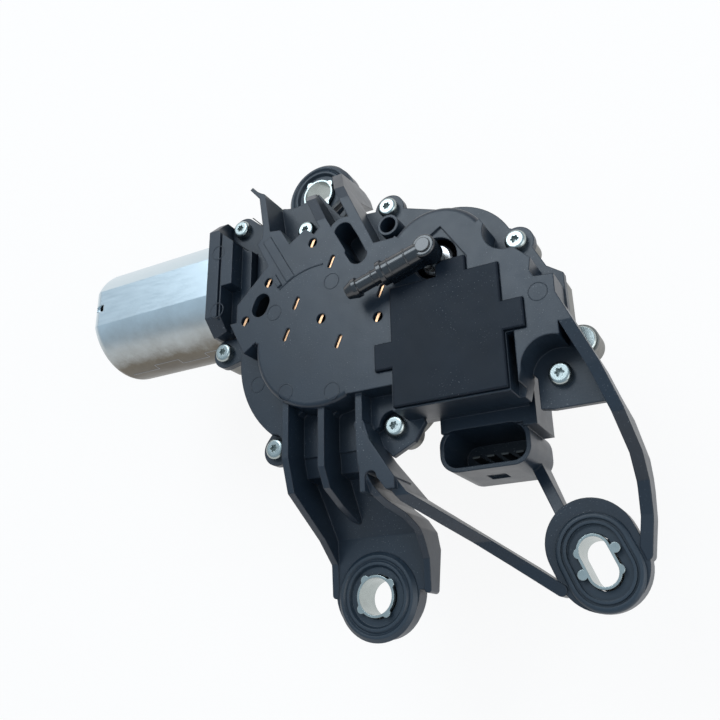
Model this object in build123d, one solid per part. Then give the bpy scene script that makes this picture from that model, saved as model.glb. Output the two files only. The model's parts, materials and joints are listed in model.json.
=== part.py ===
from build123d import *
import math
import os

# Rear wiper motor with a washer feed through its hollow output shaft.
# The output shaft's axis is the Z axis and the cover's outer face is Z = 0, with +Z out of the cover.
# The motor's axis runs along X. All sizes are in millimetres.

# Fits
running_gap = 0.04
loose_gap = 0.3
# clearance of the crank pin's seats, where the four-bar loop is open
open_gap = 0.3

# Levels of the cover and the housing
plate_wall = 3.0
skirt_wall = 2.6
terrace_level = -9.0
seat_level = -13.0
flange_wall = 2.4
gasket_wall = 0.8
floor_level = -33.4
drive_floor = -25.0
housing_wall = 3.0

# Worm gear
gear_module = 1.0
wheel_teeth = 71
worm_pitch_radius = 5.0
wheel_x = -48.5
wheel_y = -18.8
wheel_face = 8.0
gear_level = -27.9
web_recess = 2.0
tooth_tip = 0.9 * gear_module
tooth_root = 1.2 * gear_module
tooth_flank_angle = 20.0
tooth_backlash = 0.28
# an odd number of turns leaves a gap opposite the wheel's middle tooth
worm_turns = 7

# Four-bar drive: crank, link and output lever
crank_radius = 12.5
lever_radius = 17.0
link_wall = 2.5
lever_wall = 2.6
stack_gap = 0.4
link_eye_radius = 5.6
link_waist = 6.4
axle_radius = 4.0
hub_radius = 8.0
crank_pin_radius = 3.5
link_pin_radius = 3.0
driver_radius = 2.0

# Park switch: disc, copper track and sprung contacts
switch_level = -15.0
switch_wall = 1.6
switch_radius = 21.0
track_wall = 0.4
track_outer = 20.0
track_inner = 8.0
pivot_radius = 3.0
contact_spots = [(-39.8, -23.7), (-62.8, -16.0), (-58.5, -3.7)]
contact_width = 2.4

# Output shaft
shaft_radius = 6.0
shaft_bore = 3.2
shaft_top = -1.5
tube_radius = 11.5
tube_end = -70.0
bush_length = 9.0
bush_wall = 2.5
washer_wall = 1.0
groove_depth = 0.6
circlip_wall = 1.0
cone_length = 8.0
cone_small_radius = 5.0
thread_length = 10.0
thread_radius = 4.6

# Motor
can_radius = 25.9
can_flat = 24.4
can_wall = 1.5
can_start = -103.0
can_end = -173.2
can_corner = 5.0
holder_length = 12.8
holder_start = -92.0
holder_half_width = 27.0
holder_half_height = 25.8
holder_chamfer = 6.5
collar_top = -9.0
nose_wall = 5.0
motor_shaft_radius = 3.5
tip_shaft_radius = 2.5
shaft_tip = -24.0
core_radius = 17.4
core_start = -118.0
core_length = 38.0
core_slots = 12
commutator_radius = 8.0
commutator_length = 9.0
magnet_wall = 5.8
brush_size = 5.0
brush_length = 7.0

# Plan of the cover
disc_radius = 28.5
case_radius = 42.0
dome_radius = 20.5
disc_edge = 1.8
dome_edge = 2.5
shaft_window = 8.2

# Electronics box
box_left = -17.8
box_right = 22.9
box_near = -53.3
box_far = -8.3
box_wall = 2.0
lid_wall = 2.0
lid_top = 1.5
box_bottom = -22.0
board_level = -13.5
board_wall = 1.6

# Connector socket
socket_length = 33.2
socket_width = 16.2
socket_corner = 6.5
socket_wall = 1.6
socket_x = 5.0
socket_y = -64.5
socket_top = -23.0
socket_bottom = -50.0
socket_floor = 4.0
blade_pitch = 5.5
blade_count = 4
blade_width = 2.8
blade_wall = 0.8
blade_depth = 14.0

# Mounting rings, grommets and sleeves
ring_top = -33.2
ring_wall = 6.5
ring_radius = 17.0
ring_bore = 12.4
grommet_radius = 16.0
grommet_lip = 1.7
grommet_foot = 3.0
lip_groove = 0.8
sleeve_radius = 7.5
sleeve_wall = 0.9
sleeve_proud = 0.6
left_ring = (-43.1, -111.5)
top_ring = (-67.5, 65.8)
right_ring = (37.4, -105.4)
oval_angle = 111.7
oval_stretch = 7.1
oval_ring_radius = 15.2
oval_bore = 9.4
oval_grommet_radius = 12.8
# the rings are thicker on the side of their arms
ring_shift = {left_ring: (-0.3, 2.3), top_ring: (0.8, -2.2), right_ring: (-1.0, 2.6)}
oval_sleeve_radius = 5.6

# Screws
screw_head_radius = 4.0
screw_head_height = 3.0
screw_shank_radius = 2.0
screw_length = 12.0
boss_radius = 6.2
screw_pocket = 8.5
screw_places = [
    (-94.5, 45.5),
    (-61.0, 35.0),
    (-23.2, 34.3),
    (26.6, 4.8),
    (36.9, -47.6),
    (-23.4, -55.9),
    (-101.2, -11.5),
    (-74.3, -56.8),
]

# points in the case that the outlying screw bosses are tied to
ear_roots = {
    0: (-86.0, 38.0),
    1: (-60.0, 24.0),
    2: (-26.0, 22.0),
    4: (36.0, -36.0),
    5: (-30.0, -46.0),
    6: (-84.0, -8.0),
    7: (-66.0, -46.0),
}
motor_ears = (0, 6)
ear_depth = 9.0

# Carrier arms
rib_wall = 2.7
top_rib_wall = 4.0
pocket_level = -13.0
window_size = 17.4
window_turn = 32.0
window_recess = 0.8
side_groove = -9.0
slope_start = -21.0
arm_floor = 3.5
trough_width = 8.0
trough_length = 13.0
trough_place = (-34.15, 15.85)
trough_angle = 118.0
trough_floor = -12.6
strut_wall = 4.0

# Washer elbow
elbow_level = 7.3
elbow_head_radius = 4.3
elbow_disc_radius = 2.65
elbow_top = 11.1
elbow_arm_radius = 3.9
hose_radius = 2.9
hose_bore = 1.5
elbow_reach = 33.0
elbow_angle = 196.3
barb_reach = 28.0
barb_radius = 3.7
barb_land = 1.6
keel_half_width = 3.1
collar_reach = 18.0

# Side plug
plug_place = (42.5, -33.0)
plug_radius = 6.0
plug_top = -22.0

# Values that follow from the ones above
wheel_place = (wheel_x, wheel_y)
wheel_pitch_radius = wheel_teeth * gear_module / 2
motor_y = wheel_y + wheel_pitch_radius + worm_pitch_radius
lead_angle = math.degrees(math.atan(gear_module / (2 * worm_pitch_radius)))
flange_bottom = seat_level - flange_wall
parting_level = flange_bottom - gasket_wall
base_level = floor_level - housing_wall
drive_base = drive_floor - housing_wall
ear_bottom = parting_level - ear_depth
ring_bottom = ring_top - ring_wall
rim_top = gear_level + wheel_face / 2
blade_rise = box_near + 6.0
rim_bottom = gear_level - wheel_face / 2
web_top = rim_top - web_recess
link_bottom = rim_top + 4 * stack_gap
link_top = link_bottom + link_wall
lever_bottom = link_top + stack_gap
lever_top = lever_bottom + lever_wall
switch_bottom = switch_level - switch_wall
link_room = lever_radius + link_waist / 2 + 1.2
track_top = switch_level + track_wall
lid_bottom = lid_top - lid_wall
holder_mid = holder_start - holder_length / 2
worm_root = worm_pitch_radius - tooth_root
worm_tip = worm_pitch_radius + tooth_tip
worm_length = worm_turns * math.pi * gear_module
worm_start = wheel_x - worm_length / 2
wheel_room = wheel_pitch_radius + tooth_tip + 1.7
drive_room = lever_radius + link_eye_radius + 1.2
nose_start = holder_start + nose_wall
circlip_level = tube_end - 0.6
sleeve_top = ring_top + grommet_lip + sleeve_proud
sleeve_bottom = ring_bottom - grommet_foot - 0.5
front_bush_radius = 7.5
tip_bush_radius = 5.5
rear_bush_radius = 6.5
parts = {}


def rod(x, y, radius, low, high):
    """Upright cylinder between two levels."""
    return Pos(x, y, low) * extrude(Circle(radius), high - low)


def pipe(x, y, outer, inner, low, high):
    """Upright tube between two levels."""
    return Pos(x, y, low) * extrude(Circle(outer) - Circle(inner), high - low)


def block(x0, x1, y0, y1, z0, z1):
    """Box between two corners."""
    centre = Pos((x0 + x1) / 2, (y0 + y1) / 2, (z0 + z1) / 2)
    return centre * Box(abs(x1 - x0), abs(y1 - y0), abs(z1 - z0))


def raise_face(face, low, high):
    """Plan face raised between two levels."""
    return Pos(0, 0, low) * extrude(face, high - low)


def plan(*points):
    return make_face(Polyline(*points, close=True))


def lengthwise(section, x0, x1):
    """Section drawn as (y, z) about the motor's axis and swept along X."""
    placed = Pos(motor_y, gear_level) * section
    return Plane.YZ.offset(min(x0, x1)) * extrude(placed, abs(x1 - x0))


def axial(radius, x0, x1):
    """Cylinder on the motor's axis."""
    return lengthwise(Circle(radius), x0, x1)


def polar(centre, radius, degrees):
    angle = math.radians(degrees)
    return (centre[0] + radius * math.cos(angle), centre[1] + radius * math.sin(angle))


def bearing(start, end):
    return math.degrees(math.atan2(end[1] - start[1], end[0] - start[0]))


def panel(start, end, thick):
    """Upright wall from start to end, each given as (x, y, top, bottom)."""
    x0, y0, top0, low0 = start
    x1, y1, top1, low1 = end
    length = math.hypot(x1 - x0, y1 - y0)
    side = plan((0, low0), (length, low1), (length, top1), (0, top0))
    wall = extrude(Plane.XZ * side, thick / 2, both=True)
    return Pos(x0, y0, 0) * Rot(0, 0, bearing(start, end)) * wall


def strip(path, thick):
    """Plan strip of even width along a chain of points, with round corners."""
    face = Sketch()
    for start, end in zip(path, path[1:]):
        length = math.hypot(end[0] - start[0], end[1] - start[1])
        middle = Pos((start[0] + end[0]) / 2, (start[1] + end[1]) / 2)
        face += middle * Rot(0, 0, bearing(start, end)) * SlotCenterToCenter(length, thick)
    return face


def rib(path, thick, top, bottom):
    """Upright wall along a plan path. Its top and bottom lines are drawn from the side, as (y, z)."""
    side = plan(*top, *reversed(bottom))
    prism = extrude(Plane.YZ * side, 120, both=True)
    return raise_face(strip(path, thick), -60, 5) & prism


def stretched(radius):
    """Round-ended outline of the oval mounting."""
    return Rot(0, 0, oval_angle) * SlotCenterToCenter(oval_stretch, 2 * radius)


# Rest pose of the drive: crank and link in line, which parks the wiper at one end of its sweep
span = math.hypot(wheel_x, wheel_y)
link_length = math.sqrt(span**2 + crank_radius**2 - lever_radius**2)
park_reach = link_length + crank_radius
park_cosine = (lever_radius**2 + span**2 - park_reach**2) / (2 * lever_radius * span)
lever_angle = bearing((0, 0), wheel_place) % 360 - math.degrees(math.acos(park_cosine))
lever_place = polar((0, 0), lever_radius, lever_angle)
link_angle = bearing(lever_place, wheel_place)
crank_place = polar(wheel_place, -crank_radius, link_angle)


# Worm gear

def toothed_outline():
    """Outline of the wheel, straight-sided teeth with one of them on +X."""
    root = wheel_pitch_radius - tooth_root
    tip = wheel_pitch_radius + tooth_tip
    slope = math.tan(math.radians(tooth_flank_angle))
    thickness = (math.pi * gear_module - tooth_backlash) / 2
    half_tip = math.degrees((thickness / 2 - tooth_tip * slope) / tip)
    half_root = math.degrees((thickness / 2 + tooth_root * slope) / root)
    points = []
    for index in range(wheel_teeth):
        middle = 360 / wheel_teeth * index
        points.append(polar((0, 0), root, middle - half_root))
        points.append(polar((0, 0), tip, middle - half_tip))
        points.append(polar((0, 0), tip, middle + half_tip))
        points.append(polar((0, 0), root, middle + half_root))
    return plan(*points)


def wheel_rim():
    """Toothed rim, twisted by the worm's lead, with both faces recessed."""
    inner = wheel_pitch_radius - tooth_root - 3.0
    twist = math.degrees(wheel_face * math.tan(math.radians(lead_angle)) / wheel_pitch_radius)
    outline = toothed_outline() - Circle(inner)
    rim = Solid.extrude_linear_with_rotation(outline.face(), (0, 0, 0), (0, 0, wheel_face), twist)
    return Rot(0, 0, 90 - twist / 2) * rim


def make_worm_wheel():
    """Moulded helical wheel with web, hub, spokes and the boss of the crank pin."""
    inner = wheel_pitch_radius - tooth_root - 3.0
    wheel = rod(0, 0, inner, web_recess, wheel_face - web_recess)
    wheel += rod(0, 0, hub_radius, 0, wheel_face - web_recess)
    for index in range(8):
        spoke = Box(inner - hub_radius + 2, 1.8, web_recess)
        spoke = Pos((inner + hub_radius) / 2, 0, web_recess / 2 + 0.4) * spoke
        wheel += Rot(0, 0, 45 * index + 12) * spoke
    wheel = Pos(wheel_x, wheel_y, rim_bottom) * (wheel + wheel_rim())
    wheel += rod(*crank_place, crank_pin_radius + 1.6, web_top, rim_top)
    return wheel - rod(wheel_x, wheel_y, axle_radius + running_gap, base_level, rim_top)


def make_worm_shaft():
    """Armature shaft with the rolled worm near its tip."""
    pitch = math.pi * gear_module
    slope = math.tan(math.radians(tooth_flank_angle))
    thick = (pitch - tooth_backlash) / 2
    low = worm_root - 0.3
    half_tip = thick / 2 - tooth_tip * slope
    half_low = thick / 2 + (worm_pitch_radius - low) * slope
    flank = plan((low, -half_low), (worm_tip, -half_tip), (worm_tip, half_tip), (low, half_low))
    section = Plane(origin=(0, 0, 0), x_dir=(1, 0, 0), z_dir=(0, -1, 0)) * flank
    thread = sweep(section, path=Helix(pitch, worm_length, worm_pitch_radius), is_frenet=True)
    worm = Pos(0, 0, -1.5) * extrude(Circle(worm_root), worm_length + 3.0) + thread
    along = Plane(origin=(worm_start, motor_y, gear_level), x_dir=(0, -1, 0), z_dir=(1, 0, 0))
    worm = along * worm
    rear = axial(motor_shaft_radius, can_end - 1.0, worm_start - 0.5)
    front = axial(tip_shaft_radius, worm_start + worm_length + 0.5, shaft_tip)
    return worm + rear + front


def make_switch_disc():
    """Park switch disc, driven by the crank pin's tip and turning on the cover's centre pin."""
    disc = rod(*wheel_place, switch_radius, switch_bottom, switch_level)
    disc += rod(*wheel_place, pivot_radius + 2.0, switch_bottom, switch_level + 2.0)
    disc -= rod(*wheel_place, pivot_radius + running_gap, switch_bottom, switch_level + 3.0)
    return disc - rod(*crank_place, driver_radius + running_gap, switch_bottom - 1, switch_level)


def make_contact_ring():
    """Copper track on the switch disc, with the gap that marks the parked position."""
    full = Circle(track_outer) - Circle(track_inner)
    gap = plan((0, 0), (30, -4), (30, 4))
    cut = gap & (Circle(track_outer + 1) - Circle((track_outer + track_inner) / 2))
    track = Pos(*wheel_place) * Rot(0, 0, link_angle) * (full - cut)
    return raise_face(track, switch_level, track_top)


def make_contact_springs():
    """Three bent copper strips, from under the cover plate down to the track."""
    springs = []
    for x, y in contact_spots:
        outward = bearing(wheel_place, (x, y))
        side = plan(
            (-3.0, -plate_wall), (3.5, -plate_wall), (3.5, -plate_wall - 0.5),
            (0.7, -plate_wall - 0.5), (0.7, track_top + 0.6), (0.2, track_top + 0.05),
            (-0.2, track_top + 0.05), (0.1, track_top + 0.9), (0.1, -plate_wall - 0.5),
            (-3.0, -plate_wall - 0.5),
        )
        strip = extrude(Plane.XZ * side, contact_width / 2, both=True)
        springs.append(Pos(x, y, 0) * Rot(0, 0, outward + 90) * strip)
    return springs


# Four-bar drive

def eye_bar(start, end, radius, waist, low, high):
    """Flat bar with a round eye at each end."""
    length = math.hypot(end[0] - start[0], end[1] - start[1])
    bar = Circle(radius) + Pos(length, 0) * Circle(radius) + Pos(length / 2, 0) * Rectangle(length, waist)
    return raise_face(Pos(*start) * Rot(0, 0, bearing(start, end)) * bar, low, high)


def make_crank_link():
    bar = eye_bar(crank_place, lever_place, link_eye_radius, link_waist, link_bottom, link_top)
    bar -= rod(*crank_place, crank_pin_radius, link_bottom, link_top)
    return bar - rod(*lever_place, link_pin_radius + running_gap, link_bottom, link_top)


def make_crank_pin():
    """Crank pin from the wheel's boss through the link; its thinner tip drives the park switch disc."""
    pin = rod(*crank_place, crank_pin_radius, rim_top + open_gap, link_top + stack_gap)
    return pin + rod(*crank_place, driver_radius, link_top, switch_bottom - open_gap)


def make_output_lever():
    """Lever with a serrated hub on the output shaft."""
    bar = eye_bar((0, 0), lever_place, link_eye_radius, 9.0, lever_bottom, lever_top)
    bar += rod(0, 0, shaft_radius + 1.6, drive_floor + washer_wall, lever_top + 1.5)
    bar -= rod(0, 0, shaft_radius, drive_floor, lever_top + 2)
    return bar - rod(*lever_place, link_pin_radius, lever_bottom, lever_top)


def make_link_pin():
    head = rod(*lever_place, link_pin_radius + 1.2, lever_top, lever_top + 1.2)
    return head + rod(*lever_place, link_pin_radius, link_bottom - 1.2, lever_top)


def make_link_clip():
    """Push-on clip under the link, in the pin's groove."""
    clip = Circle(link_pin_radius + 1.6) - Circle(link_pin_radius)
    clip -= Pos(link_pin_radius + 1, 0) * Rectangle(4, 2.2)
    return raise_face(Pos(*lever_place) * clip, link_bottom - 0.9, link_bottom - 0.2)


def make_output_shaft():
    """Hollow shaft with shoulder, cone for the wiper arm and threaded end."""
    cone_top = tube_end - 4.0
    thread_top = cone_top - cone_length
    profile = plan(
        (0, shaft_top), (shaft_radius - 0.8, shaft_top), (shaft_radius, shaft_top - 0.8),
        (shaft_radius, cone_top), (cone_small_radius, thread_top), (thread_radius, thread_top),
        (thread_radius, thread_top - thread_length + 0.6),
        (thread_radius - 0.6, thread_top - thread_length), (0, thread_top - thread_length),
    )
    shaft = revolve(Plane.XZ * profile, Axis.Z)
    inner = shaft_radius - groove_depth
    groove = pipe(0, 0, shaft_radius + 1, inner, circlip_level - circlip_wall, circlip_level)
    return shaft - groove - rod(0, 0, shaft_bore, -120, 0)


def make_shaft_circlip():
    """Retaining ring in the shaft's groove, outside the tube."""
    ring = Circle(shaft_radius + 1.8) - Circle(shaft_radius - groove_depth + running_gap)
    ring -= Pos(shaft_radius, 0) * Rectangle(6, 3)
    return raise_face(ring, circlip_level - circlip_wall, circlip_level)


def bush_ring(low, high):
    return pipe(0, 0, shaft_radius + bush_wall, shaft_radius + running_gap, low, high)


def make_shaft_seal():
    """Lip seal in the tube's mouth."""
    outer = shaft_radius + bush_wall
    profile = plan(
        (shaft_radius + running_gap, -4.5), (outer, -4.5), (outer, 0),
        (shaft_radius + 1.0, 0), (shaft_radius + running_gap, -1.2),
        (shaft_radius + 1.2, -3.2), (shaft_radius + running_gap, -3.6),
    )
    return Pos(0, 0, tube_end + 4.5) * revolve(Plane.XZ * profile, Axis.Z)


def make_washer_tube():
    """Plastic feed tube inside the hollow shaft."""
    return pipe(0, 0, shaft_bore - 0.3, hose_bore, tube_end - 15.0, -12.0)


# Motor

def can_section(inset):
    return Circle(can_radius - inset) & Rectangle(3 * can_radius, 2 * (can_flat - inset))


def make_can():
    """Deep-drawn can with two flats, a rounded end and a bearing cup."""
    outer = lengthwise(can_section(0), can_end, can_start)
    outer = fillet(outer.faces().sort_by(Axis.X)[0].edges(), can_corner)
    inner = lengthwise(can_section(can_wall), can_end + can_wall, can_start)
    inner = fillet(inner.faces().sort_by(Axis.X)[0].edges(), can_corner - can_wall)
    cup = axial(8.5, can_end - 3.0, can_end + 1.0)
    cup = fillet(cup.faces().sort_by(Axis.X)[0].edges(), 1.5)
    can = outer + cup - inner - axial(rear_bush_radius, can_end - 1.6, can_end + can_wall + 1.0)
    for side in (-1, 1):
        face = gear_level + side * can_flat
        can -= block(can_end + 1.2, can_end + 7.0, motor_y - 1.6, motor_y + 1.6, face - 2.5, face + 2.5)
    return can


def holder_section(inset):
    section = Rectangle(2 * (holder_half_width - inset), 2 * (holder_half_height - inset))
    return chamfer(section.vertices(), holder_chamfer)


def make_brush_holder():
    """Black plastic block between the can and the housing, with the brush guides."""
    far = holder_start - holder_length
    top = gear_level + holder_half_height
    body = lengthwise(holder_section(0), far, holder_start)
    seat = Circle(can_radius + loose_gap) & Rectangle(99, 2 * (can_flat + loose_gap))
    body -= lengthwise(seat, far, can_start)
    body -= axial(commutator_radius + 1.0, far, holder_start)
    for side in (-1, 1):
        reach = can_radius - 4.0
        body -= Pos(holder_mid, motor_y, gear_level + side * reach / 2) * Box(brush_size, brush_size, reach)
    body -= block(holder_mid - 0.6, holder_mid + 0.6, motor_y - 30, motor_y + 30, top - 1.4, top + 1)
    body -= block(holder_start - 5.2, holder_start + 1, motor_y - 30, motor_y - 7.0, top - 8.0, top + 1)
    for index in motor_ears:
        body -= raise_face(ear_face(index, loose_gap), ear_bottom - loose_gap, top + 1)
    return body + holder_collar()


def make_magnets():
    """Two curved ferrite magnets on the can's round sides."""
    outer = can_radius - can_wall - loose_gap
    arc = (Circle(outer) - Circle(outer - magnet_wall)) & plan((0, 0), (60, 46), (60, -46))
    x0 = core_start - core_length - 2.0
    return [lengthwise(Rot(0, 0, turn) * arc, x0, core_start + 3.0) for turn in (0, 180)]


def core_slot(width):
    return Pos(core_radius - 4.5, 0) * Rectangle(6.6, width)


def make_core():
    """Laminated core with open slots."""
    section = Circle(core_radius)
    section -= PolarLocations(0, core_slots) * core_slot(3.4)
    section -= PolarLocations(0, core_slots) * (Pos(core_radius, 0) * Rectangle(4.0, 1.6))
    section -= Circle(motor_shaft_radius)
    return lengthwise(section, core_start - core_length, core_start)


def make_windings():
    """Enamelled wires in the slots and the end turns that join them."""
    low = core_start - core_length
    ring = Circle(core_radius - 1.6) - Circle(motor_shaft_radius + 1.5)
    coil = lengthwise(ring, core_start, core_start + 7.0) + lengthwise(ring, low - 7.0, low)
    runs = PolarLocations(0, core_slots) * core_slot(3.4 - loose_gap)
    for run in runs:
        coil += lengthwise(run, low - 0.5, core_start + 0.5)
    return coil


def make_commutator():
    """Copper segments on the shaft."""
    ring = Circle(commutator_radius) - Circle(motor_shaft_radius)
    ring -= PolarLocations(0, core_slots) * (Pos(commutator_radius, 0) * Rectangle(3.0, 0.6))
    x0 = holder_mid - commutator_length / 2
    return lengthwise(ring, x0, x0 + commutator_length)


def make_brushes():
    """Two carbon brushes, worn to the commutator."""
    size = brush_size - 2 * running_gap
    start = commutator_radius + running_gap
    brushes = []
    for side in (-1, 1):
        middle = gear_level + side * (start + brush_length / 2 - 0.4)
        brush = Pos(holder_mid, motor_y, middle) * Box(size, size, brush_length + 0.8)
        brushes.append(brush - axial(start, holder_mid - 5, holder_mid + 5))
    return brushes


def make_brush_springs():
    """Coil springs behind the brushes."""
    inner = commutator_radius + running_gap + brush_length
    outer = can_radius - 4.0
    turns = 5
    path = Helix((outer - inner - 0.9) / turns, outer - inner - 0.9, 1.5)
    wire = sweep(Plane(origin=path @ 0, z_dir=path % 0) * Circle(0.3), path=path)
    top = Pos(holder_mid, motor_y, gear_level + inner + 0.4) * wire
    bottom = Pos(holder_mid, motor_y, gear_level - inner - 0.4) * Rot(180, 0, 0) * wire
    return [top, bottom]


def motor_bush(x0, x1, outer, inner):
    return lengthwise(Circle(outer) - Circle(inner + running_gap), x0, x1)


def make_thrust_pad():
    pad = axial(tip_shaft_radius + 1.5, shaft_tip + 0.02, shaft_tip + 3.0)
    return pad


# Outlines that the cover, the gasket and the housing share

def ear_face(index, grow):
    """One screw boss with the neck that ties it to the case."""
    start = screw_places[index]
    end = ear_roots.get(index, start)
    disc = Pos(*start) * Circle(boss_radius + grow)
    if end == start:
        return disc
    middle = Pos((start[0] + end[0]) / 2, (start[1] + end[1]) / 2)
    length = math.hypot(start[0] - end[0], start[1] - end[1])
    return middle * Rot(0, 0, bearing(start, end)) * SlotCenterToCenter(length, 2 * (boss_radius + grow))


def screw_ears(grow):
    return [ear_face(index, grow) for index in range(len(screw_places))]


def case_face():
    """Outline of the joint between the cover and the housing."""
    face = Pos(*wheel_place) * Circle(case_radius)
    face += Circle(drive_room + 3.0)
    face += plan(
        (nose_start, -5), (nose_start, 42), (-64, 44), (-40, 36), (-20, 34), (10, 23), (0, 0), (-60, -20),
    )
    face += plan((10, 20), (28.4, 8.9), (36, -7), (41.5, -11), (41.5, -46), (31, -50), (18, -34), (0, 0))
    for ear in screw_ears(0):
        face += ear
    return face


def room_face(grow=0.0):
    """Hollow for the wheel, the link and the lever."""
    return Pos(*wheel_place) * Circle(wheel_room + grow) + Circle(drive_room + grow) + link_neck(grow)


def link_neck(grow=0.0):
    """Straight side of the hollow, along the link at the middle of its travel."""
    width = link_room + grow
    return Rot(0, 0, link_angle) * Pos(12.5, -width / 2) * Rectangle(25.0, width)


def box_room(grow):
    """Space that the electronics box takes below the joint."""
    return block(box_left - grow, box_right + grow, box_near - grow - 6, box_far + grow, box_bottom - grow, 0)


def make_housing():
    """Die-cast housing: wheel case, motor tube, drive case with output tube, nose and screw bosses."""
    wheel_case = raise_face(Pos(*wheel_place) * Circle(case_radius), base_level, parting_level)
    drive_case = raise_face(Circle(drive_room + 3.0), drive_base, parting_level)
    side_case = plan((10, 20), (28, 8.6), (35, -7), (40.5, -11), (40.5, -38), (24, -38), (12, -24), (0, 0))
    body = wheel_case + drive_case + raise_face(side_case, drive_base, parting_level)
    tube = axial(worm_tip + 4.6, nose_start, shaft_tip + 5.0)
    body += tube + motor_saddle()
    for ear in screw_ears(-0.8):
        body += raise_face(ear, ear_bottom, parting_level)
    body += lengthwise(holder_section(0.6), holder_start, nose_start)
    body += rod(0, 0, tube_radius, tube_end, drive_floor)
    body += rod(*plug_place, plug_radius, plug_top - 10.0, plug_top - 1.5)
    body += housing_ribs()
    body -= raise_face(Pos(*wheel_place) * Circle(wheel_room), floor_level, 0)
    body -= raise_face(Circle(drive_room) + link_neck(), drive_floor, 0)
    body -= raise_face(offset(side_case, -3.0) - Circle(drive_room + 2), drive_floor, 0)
    body += rod(*wheel_place, hub_radius, base_level, rim_bottom - 0.4)
    body -= rod(*wheel_place, axle_radius, base_level, 0)
    body -= axial(worm_tip + 1.2, nose_start + 3.0, worm_start + worm_length + 2.0)
    body -= axial(front_bush_radius, holder_start - 1, nose_start + 3.0)
    body -= axial(tip_bush_radius, worm_start + worm_length, shaft_tip)
    body -= axial(tip_shaft_radius + 1.5, shaft_tip, shaft_tip + 3.0)
    body -= rod(0, 0, shaft_radius + bush_wall, tube_end, drive_floor)
    body += tube_lands()
    body -= box_room(loose_gap)
    body -= connector_room()
    for place in screw_places:
        body -= rod(*place, screw_shank_radius, seat_level - screw_length - 0.5, 0)
    body -= rod(*plug_place, plug_radius - 0.8, plug_top - 5.0, plug_top)
    body -= lengthwise(holder_section(-1), holder_start - 30, holder_start) - motor_ear_bodies()
    return body - block(-120, 60, -80, 60, parting_level, 20)


def motor_ear_bodies():
    bodies = raise_face(ear_face(0, 0), ear_bottom, 0)
    return bodies + raise_face(ear_face(6, 0), ear_bottom, 0)


def motor_saddle():
    """Fills between the motor tube and the wheel case up to the joint."""
    top = block(nose_start, shaft_tip + 5.0, motor_y - 10.5, motor_y + 10.5, gear_level, parting_level)
    neck = plan((nose_start, motor_y), (nose_start, motor_y - 24), (-66, -12), (-20, 4), (-20, motor_y))
    return top + raise_face(neck, base_level, parting_level)


def housing_ribs():
    """Radial ribs under the drive case, round the output tube."""
    ribs = Part()
    for turn in range(0, 360, 60):
        root = tube_radius - 1
        side = plan((root, drive_base), (drive_room + 1, drive_base), (root, drive_base - 22))
        rib = extrude(Plane.XZ * side, 1.25, both=True)
        ribs += Rot(0, 0, turn + 12) * rib
    return ribs


def tube_lands():
    """Step between the two output bushes."""
    inner_low = drive_floor - bush_length
    outer_high = tube_end + 4.5 + bush_length
    return pipe(0, 0, tube_radius - 1, shaft_radius + 0.6, outer_high, inner_low)


def connector_room():
    """Space for the connector's neck beside the housing."""
    return block(-11, 26, -62, -39.6, -60, box_bottom)


def holder_collar():
    """Lip of the brush block over the housing's motor flange."""
    collar = lengthwise(holder_section(0.6), holder_start, nose_start)
    collar &= block(-100, -80, -20, 60, parting_level, collar_top)
    return collar - raise_face(ear_face(0, loose_gap), parting_level, 0)


def make_gasket():
    """Flat gasket in the joint."""
    face = case_face()
    sheet = raise_face(face, parting_level, flange_bottom)
    sheet -= raise_face(room_face(1.0), parting_level, flange_bottom)
    sheet -= block(box_left - 0.5, box_right + 0.5, box_near - 9, box_far + 0.5, parting_level, flange_bottom)
    sheet -= nose_room(loose_gap)
    sheet -= axial(worm_tip + 5.0, nose_start, shaft_tip + 3)
    for place in screw_places:
        sheet -= rod(*place, screw_shank_radius + loose_gap, parting_level, flange_bottom)
    return sheet.solids().sort_by(SortBy.VOLUME)[-1]


# Cover and carrier

def plate_face():
    """Outline of the raised cover plate."""
    face = Pos(*wheel_place) * Circle(disc_radius)
    face += Circle(dome_radius)
    face += plan(
        (-76.7, -15.9), (-82.7, -19.6), (-90.7, -4.0), (-87.4, 1.3), (-72.0, 16.2), (-77.8, 27.5),
        (-73.5, 32.3), (-66.5, 31.0), (-62.0, 23.3), (-54.5, 28.0), (-50.5, 24.5), (-47.5, 27.5),
        (-38.5, 13.0), (-24.5, 13.0), (-16.0, 12.8), (0, 0), (-17.8, -20), (-17.8, -44.6),
        (-36.0, -44.6), (-48.5, -30.0),
    )
    face += plan(
        (0, 0), (17.9, 9.9), (22, 3), (28, -3.2), (34.0, -9.3), (33.2, -13.9), (34.4, -16.5),
        (41.0, -17.1), (40.6, -38.3), (28.8, -42.3), (26.9, -48.8), (25.4, -54.2), (-18.6, -54.2),
        (-18.6, -30),
    )
    face -= Pos(*screw_places[3]) * Circle(screw_pocket)
    return face - Pos(*screw_places[4]) * Circle(screw_pocket + 1.2)


def flange_face():
    """Outline of the cover's flange, with the carrier's web plates."""
    face = case_face()
    face += plan((28.9, -57.9), (33.4, -58.7), (51.5, -58.7), (47.0, -45.0), (40.5, -30.0), (28.9, -36.0))
    face += plan((-33, -50), (-33, -58), (-25.4, -66.4), (-16.8, -62.1), (-12.5, -55.5), (-17, -44))
    return face + plan((-78, 30), (-74, 50.4), (-56, 51.8), (-44, 36), (-50, 24))


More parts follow.
